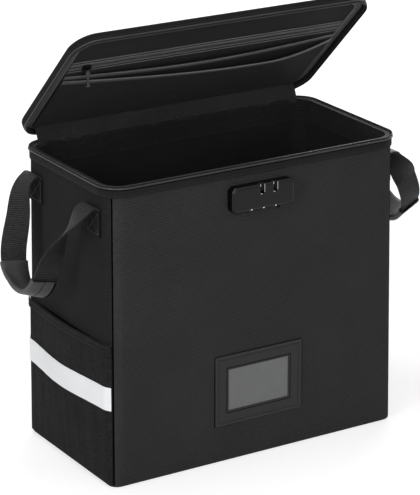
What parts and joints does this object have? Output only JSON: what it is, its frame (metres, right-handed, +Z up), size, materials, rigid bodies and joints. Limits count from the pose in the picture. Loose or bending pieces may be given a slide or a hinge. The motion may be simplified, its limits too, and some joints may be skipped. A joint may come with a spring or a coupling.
{
  "type": "record carrying case",
  "caption": "Upright fabric-covered carrying case for long-playing records, with a hinged zip-round lid, side handles, a combination lock, a label holder and a side pocket.",
  "frame": {"origin": "middle of the case's underside, on the surface it stands on", "axes": "+X to the right along the front, +Y from the front to the back, +Z up"},
  "size_m": [0.511, 0.2154, 0.4907],
  "materials": {
    "case_fabric": "ribbed black woven cloth over board",
    "side_fabric": "plain black woven cloth over board",
    "lining": "smooth black lining cloth",
    "board": "stiffening board under black cloth",
    "binding": "folded black binding",
    "piping": "black piping cord",
    "zip_tape": "black coil zipper",
    "zip_metal": "dark plated metal",
    "lock_plastic": "satin black moulded plastic",
    "dial": "black number wheels",
    "steel": "plain steel",
    "label": "dark grey sewn frame",
    "window": "smoky clear plastic film",
    "pocket": "plain black pocket cloth",
    "reflective": "silver white reflective tape",
    "webbing": "black polyester webbing",
    "mesh": "fine black mesh"
  },
  "bodies": {
    "case": {"front_panel": "case_fabric", "back_panel": "case_fabric", "left_side_panel": "side_fabric", "right_side_panel": "side_fabric", "base_panel": "side_fabric", "lining_walls": "lining", "floor_board": "board", "rim_facing": "lining", "rim_binding": "binding", "rim_piping": "piping", "zipper_lower": "zip_tape", "hinge_strip_lower": "binding", "gusset_lower": "lining", "lock_housing": "lock_plastic", "lock_axle": "steel", "lock_back_plate": "steel", "lock_screws": "steel", "label_frame": "label", "label_window": "window", "side_pocket": "pocket", "side_pocket_hem": "binding", "reflective_strip": "reflective", "left_handle_anchors": "webbing", "left_handle_folds": "webbing", "right_handle_anchors": "webbing", "right_handle_folds": "webbing"},
    "lid": {"lid_shell": "side_fabric", "lid_piping": "piping", "zipper_upper": "zip_tape", "hinge_strip_upper": "binding", "gusset_upper": "lining", "lid_lining": "lining", "lid_zipped_panel": "lining", "lid_pocket_zipper": "zip_tape", "lid_document_pocket": "lining", "lid_document_hem": "binding", "lid_mesh_pocket": "mesh", "lid_mesh_hem": "binding"},
    "pocket_slider": {"pocket_slider": "zip_metal"},
    "pocket_pull": {"pocket_pull": "zip_metal"},
    "zip_slider_left": {"zip_slider_left": "zip_metal"},
    "zip_slider_right": {"zip_slider_right": "zip_metal"},
    "zip_pull_left": {"zip_pull_left": "zip_metal"},
    "zip_pull_right": {"zip_pull_right": "zip_metal"},
    "lock_button": {"lock_button": "lock_plastic"},
    "lock_latch_bar": {"lock_latch_bar": "steel"},
    "lock_dial_1": {"lock_dial_1": "dial"},
    "lock_dial_2": {"lock_dial_2": "dial"},
    "lock_dial_3": {"lock_dial_3": "dial"},
    "left_handle": {"left_handle_strap": "webbing", "left_handle_grip": "webbing"},
    "right_handle": {"right_handle_strap": "webbing", "right_handle_grip": "webbing"}
  },
  "joints": [
    {"name": "lid_hinge", "type": "hinge", "parent": "case", "child": "lid", "pos_m": [0, 0.1015, 0.343], "axis": [-1, 0, 0], "range_deg": [-44, 66]},
    {"name": "pocket_slider_slide", "type": "slide", "parent": "lid", "child": "pocket_slider", "axis": [1, 0, 0], "range_m": [0, 0.3]},
    {"name": "pocket_pull_swing", "type": "hinge", "parent": "pocket_slider", "child": "pocket_pull", "pos_m": [-0.153, 0.00305, 0.44043], "axis": [-1, 0, 0], "range_deg": [0, 100]},
    {"name": "left_handle_swing", "type": "hinge", "parent": "case", "child": "left_handle", "pos_m": [-0.194, 0, 0.309], "axis": [0, 1, 0], "range_deg": [0, 120], "deforming": ["left_handle_folds"]},
    {"name": "right_handle_swing", "type": "hinge", "parent": "case", "child": "right_handle", "pos_m": [0.194, 0, 0.309], "axis": [0, -1, 0], "range_deg": [0, 120], "deforming": ["right_handle_folds"]},
    {"name": "lock_button_push", "type": "slide", "parent": "case", "child": "lock_button", "axis": [0, 0, 1], "range_m": [0, 0.002], "stiffness_N_per_m": 300},
    {"name": "lock_latch_slide", "type": "slide", "parent": "case", "child": "lock_latch_bar", "axis": [-1, 0, 0], "range_m": [0, 0.002]},
    {"name": "lock_dial_1_turn", "type": "hinge", "parent": "case", "child": "lock_dial_1", "pos_m": [-0.0154, -0.0999, 0.2938], "axis": [1, 0, 0], "continuous": true},
    {"name": "lock_dial_2_turn", "type": "hinge", "parent": "case", "child": "lock_dial_2", "pos_m": [0, -0.0999, 0.2938], "axis": [1, 0, 0], "continuous": true},
    {"name": "lock_dial_3_turn", "type": "hinge", "parent": "case", "child": "lock_dial_3", "pos_m": [0.0154, -0.0999, 0.2938], "axis": [1, 0, 0], "continuous": true},
    {"name": "zip_slider_left_slide", "type": "slide", "parent": "case", "child": "zip_slider_left", "axis": [-1, 0, 0], "range_m": [0, 0.028]},
    {"name": "zip_pull_left_swing", "type": "hinge", "parent": "zip_slider_left", "child": "zip_pull_left", "pos_m": [-0.125, 0.1019, 0.343], "axis": [1, 0, 0], "range_deg": [0, 70]},
    {"name": "zip_slider_right_slide", "type": "slide", "parent": "case", "child": "zip_slider_right", "axis": [1, 0, 0], "range_m": [0, 0.028]},
    {"name": "zip_pull_right_swing", "type": "hinge", "parent": "zip_slider_right", "child": "zip_pull_right", "pos_m": [0.125, 0.1019, 0.343], "axis": [1, 0, 0], "range_deg": [0, 70]}
  ],
  "couplings": [
    {"joint": "lock_latch_slide", "follows": "lock_button_push", "ratio": 1}
  ]
}
